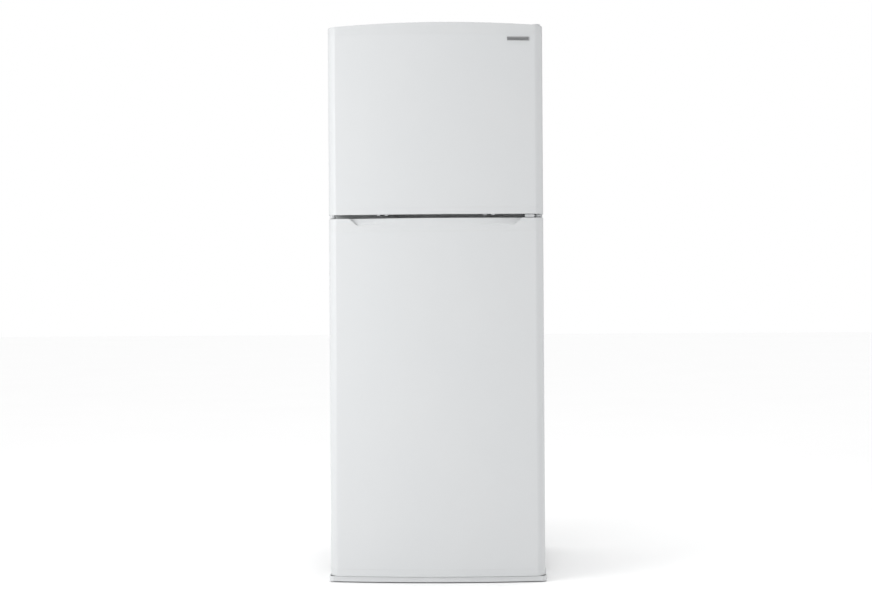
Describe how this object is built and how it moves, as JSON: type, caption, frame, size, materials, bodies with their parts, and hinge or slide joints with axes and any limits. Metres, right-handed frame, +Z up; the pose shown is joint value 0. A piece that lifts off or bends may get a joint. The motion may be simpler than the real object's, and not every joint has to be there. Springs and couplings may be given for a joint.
{
  "type": "top freezer refrigerator",
  "caption": "Upright two-door refrigerator with a freezer on top, bowed white doors hinged on the right, a recessed grip, shelves, drawers, door bins and an ice maker.",
  "frame": {"origin": "on the floor under the middle of the bounding box, level with the undersides of the feet and rollers", "axes": "+Z up, the doors face -Y, +X to the right as seen from the front, towards the door hinges"},
  "size_m": [0.608, 0.64, 1.561],
  "materials": {
    "white_paint": "satin cool white enamel on steel sheet",
    "galvanized": "dull zinc-coated steel",
    "foam": null,
    "liner_plastic": "vacuum formed sheet, slightly glossy",
    "white_plastic": "moulded, satin",
    "aluminium": "thin fins on tube",
    "grey_plastic": "moulded, matt",
    "blue_clear_plastic": "clear moulded, faint blue tint",
    "clear_plastic": "clear moulded",
    "glass": "tempered sheet",
    "black_paint": "semi-gloss black",
    "black_rubber": "hard, matt",
    "gasket_rubber": "soft pale grey",
    "badge_metal": "brushed dark grey, no lettering"
  },
  "bodies": {
    "cabinet": {"outer_wrap": "white_paint", "back_panel": "galvanized", "bottom_plate": "galvanized", "cabinet_foam": "foam", "freezer_liner": "liner_plastic", "fridge_liner": "liner_plastic", "center_rail": "white_paint", "kick_cover": "white_plastic", "top_hinge": "white_paint", "top_hinge_cover": "white_plastic", "middle_hinge": "white_paint", "bottom_hinge": "white_paint", "evaporator_cover": "liner_plastic", "evaporator": "aluminium", "fan_motor": "grey_plastic", "freezer_shelf": "white_plastic", "ice_tray_frame": "white_plastic", "air_duct": "liner_plastic", "control_housing": "white_plastic", "shelf_frame_1": "white_plastic", "shelf_glass_1": "glass", "shelf_frame_2": "white_plastic", "shelf_glass_2": "glass", "crisper_lid": "glass", "compressor": "black_paint", "condenser_coil": "black_paint", "drain_pan": "grey_plastic", "machine_room_cover": "galvanized"},
    "freezer_door": {"freezer_door_skin": "white_paint", "freezer_door_foam": "foam", "freezer_door_liner": "liner_plastic", "freezer_door_gasket": "gasket_rubber", "freezer_door_top_cap": "white_plastic", "freezer_door_bottom_cap": "white_plastic", "badge_plate": "badge_metal"},
    "fridge_door": {"fridge_door_skin": "white_paint", "fridge_door_foam": "foam", "fridge_door_liner": "liner_plastic", "fridge_door_gasket": "gasket_rubber", "fridge_door_top_cap": "white_plastic", "fridge_door_bottom_cap": "white_plastic"},
    "fan": {"fan_blade": "white_plastic"},
    "thermostat": {"thermostat_knob": "grey_plastic"},
    "freezer_switch": {"freezer_door_switch": "grey_plastic"},
    "fridge_switch": {"fridge_door_switch": "grey_plastic"},
    "left_ice_tray": {"ice_tray_left": "blue_clear_plastic"},
    "right_ice_tray": {"ice_tray_right": "blue_clear_plastic"},
    "ice_drawer": {"ice_bin": "clear_plastic"},
    "chiller": {"chiller_drawer": "clear_plastic"},
    "crisper": {"crisper_drawer": "clear_plastic"},
    "left_foot": {"front_foot_left": "grey_plastic"},
    "right_foot": {"front_foot_right": "grey_plastic"},
    "left_roller": {"rear_roller_left": "black_rubber"},
    "right_roller": {"rear_roller_right": "black_rubber"},
    "freezer_bin_upper": {"freezer_door_bin_upper": "clear_plastic"},
    "freezer_bin_lower": {"freezer_door_bin_lower": "clear_plastic"},
    "dairy_box": {"dairy_bin": "clear_plastic"},
    "dairy_cover": {"dairy_lid": "clear_plastic"},
    "middle_bin": {"fridge_door_bin_middle": "clear_plastic"},
    "bottle_bin": {"fridge_door_bin_bottle": "clear_plastic"}
  },
  "joints": [
    {"name": "freezer_door_swing", "type": "hinge", "parent": "cabinet", "child": "freezer_door", "pos_m": [0.283, -0.28, 1.29], "axis": [0, 0, 1], "range_deg": [0, 130]},
    {"name": "fridge_door_swing", "type": "hinge", "parent": "cabinet", "child": "fridge_door", "pos_m": [0.283, -0.28, 0.52], "axis": [0, 0, 1], "range_deg": [0, 130]},
    {"name": "fan_spin", "type": "hinge", "parent": "cabinet", "child": "fan", "pos_m": [0, 0.207, 1.395], "axis": [0, 1, 0], "continuous": true},
    {"name": "thermostat_turn", "type": "hinge", "parent": "cabinet", "child": "thermostat", "pos_m": [0.062, -0.185, 0.967], "axis": [0, -1, 0], "range_deg": [-120, 120]},
    {"name": "freezer_switch_press", "type": "slide", "parent": "cabinet", "child": "freezer_switch", "axis": [0, -1, 0], "range_m": [0, 0.008]},
    {"name": "fridge_switch_press", "type": "slide", "parent": "cabinet", "child": "fridge_switch", "axis": [0, -1, 0], "range_m": [0, 0.008]},
    {"name": "left_tray_twist", "type": "hinge", "parent": "cabinet", "child": "left_ice_tray", "pos_m": [-0.184, 0, 1.428], "axis": [0, -1, 0], "range_deg": [0, 120], "stiffness_Nm_per_rad": 0.05},
    {"name": "right_tray_twist", "type": "hinge", "parent": "cabinet", "child": "right_ice_tray", "pos_m": [-0.082, 0, 1.428], "axis": [0, -1, 0], "range_deg": [0, 120], "stiffness_Nm_per_rad": 0.05},
    {"name": "ice_drawer_slide", "type": "slide", "parent": "cabinet", "child": "ice_drawer", "axis": [0, -1, 0], "range_m": [0, 0.045]},
    {"name": "chiller_slide", "type": "slide", "parent": "cabinet", "child": "chiller", "axis": [0, -1, 0], "range_m": [0, 0.085]},
    {"name": "crisper_slide", "type": "slide", "parent": "cabinet", "child": "crisper", "axis": [0, -1, 0], "range_m": [0, 0.035]},
    {"name": "left_foot_screw", "type": "hinge", "parent": "cabinet", "child": "left_foot", "pos_m": [-0.262, -0.208, 0], "axis": [0, 0, 1], "continuous": true},
    {"name": "right_foot_screw", "type": "hinge", "parent": "cabinet", "child": "right_foot", "pos_m": [0.262, -0.208, 0], "axis": [0, 0, 1], "continuous": true},
    {"name": "left_roller_roll", "type": "hinge", "parent": "cabinet", "child": "left_roller", "pos_m": [-0.262, 0.27, 0.013], "axis": [1, 0, 0], "continuous": true},
    {"name": "right_roller_roll", "type": "hinge", "parent": "cabinet", "child": "right_roller", "pos_m": [0.262, 0.27, 0.013], "axis": [1, 0, 0], "continuous": true},
    {"name": "freezer_bin_upper_lift", "type": "slide", "parent": "freezer_door", "child": "freezer_bin_upper", "axis": [0, 0, 1], "range_m": [0, 0.025]},
    {"name": "freezer_bin_lower_lift", "type": "slide", "parent": "freezer_door", "child": "freezer_bin_lower", "axis": [0, 0, 1], "range_m": [0, 0.025]},
    {"name": "dairy_box_lift", "type": "slide", "parent": "fridge_door", "child": "dairy_box", "axis": [0, 0, 1], "range_m": [0, 0.025]},
    {"name": "dairy_cover_tilt", "type": "hinge", "parent": "dairy_box", "child": "dairy_cover", "pos_m": [0, -0.236, 0.856], "axis": [1, 0, 0], "range_deg": [0, 85]},
    {"name": "middle_bin_lift", "type": "slide", "parent": "fridge_door", "child": "middle_bin", "axis": [0, 0, 1], "range_m": [0, 0.025]},
    {"name": "bottle_bin_lift", "type": "slide", "parent": "fridge_door", "child": "bottle_bin", "axis": [0, 0, 1], "range_m": [0, 0.025]}
  ],
  "couplings": [
    {"joint": "freezer_switch_press", "follows": "freezer_door_swing", "m_per_rad": 0.0035},
    {"joint": "fridge_switch_press", "follows": "fridge_door_swing", "m_per_rad": 0.0035}
  ]
}
